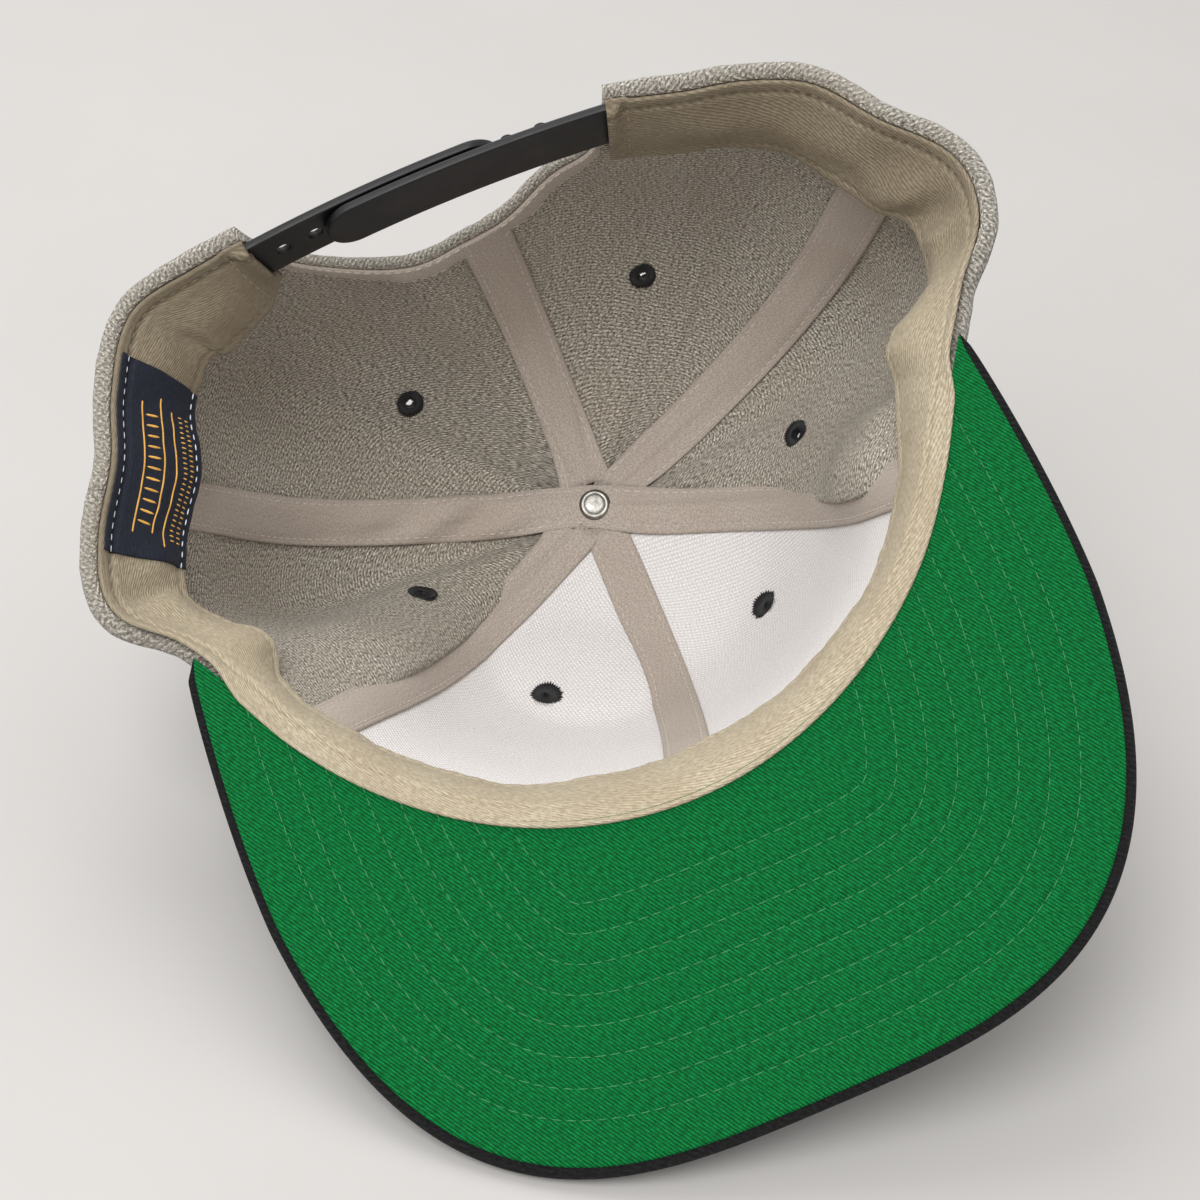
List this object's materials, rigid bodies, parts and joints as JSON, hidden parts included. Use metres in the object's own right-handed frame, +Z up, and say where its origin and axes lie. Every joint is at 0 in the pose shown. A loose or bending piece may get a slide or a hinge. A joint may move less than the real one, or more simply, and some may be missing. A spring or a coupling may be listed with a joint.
{
  "type": "snapback cap",
  "caption": "Six-panel snapback cap with a flat visor and a plastic snap closure, lying on its crown and visor edge with the hollow open upwards.",
  "frame": {"origin": "on the surface it lies on, under the middle of the whole cap's box", "axes": "+Z up from the surface; the visor points towards -Y and the wearer's right lies towards +X, as the cap lies tipped over on its crown"},
  "size_m": [0.2198, 0.2278, 0.1522],
  "materials": {
    "grey_wool": "heather grey wool twill",
    "white_buckram": "stiff white plain-weave buckram",
    "black_thread": "black satin-stitched thread",
    "taupe_tape": "taupe herringbone seam tape",
    "cream_twill": "cream cotton twill",
    "navy_label": "woven navy satin with plain gold rules",
    "black_wool": "black brushed wool twill",
    "green_twill": "kelly green cotton twill",
    "black_plastic": "black satin moulded plastic",
    "rivet_steel": "nickel-plated rivet head"
  },
  "bodies": {
    "root": {"front_panel_right": "grey_wool", "front_panel_left": "grey_wool", "side_panel_right": "grey_wool", "side_panel_left": "grey_wool", "back_panel_right": "grey_wool", "back_panel_left": "grey_wool", "front_buckram_right": "white_buckram", "front_buckram_left": "white_buckram", "front_right_eyelet": "black_thread", "front_left_eyelet": "black_thread", "side_right_eyelet": "black_thread", "side_left_eyelet": "black_thread", "back_right_eyelet": "black_thread", "back_left_eyelet": "black_thread", "cross_tape": "taupe_tape", "centre_front_tape": "taupe_tape", "left_front_tape": "taupe_tape", "right_rear_tape": "taupe_tape", "centre_back_tape": "taupe_tape", "back_arch_tape": "taupe_tape", "sweatband": "cream_twill", "woven_label": "navy_label", "visor_top": "black_wool", "undervisor": "green_twill", "snap_strap_holes": "black_plastic", "snap_strap_pegs": "black_plastic", "top_button": "black_wool", "button_rivet": "rivet_steel"}
  },
  "joints": []
}
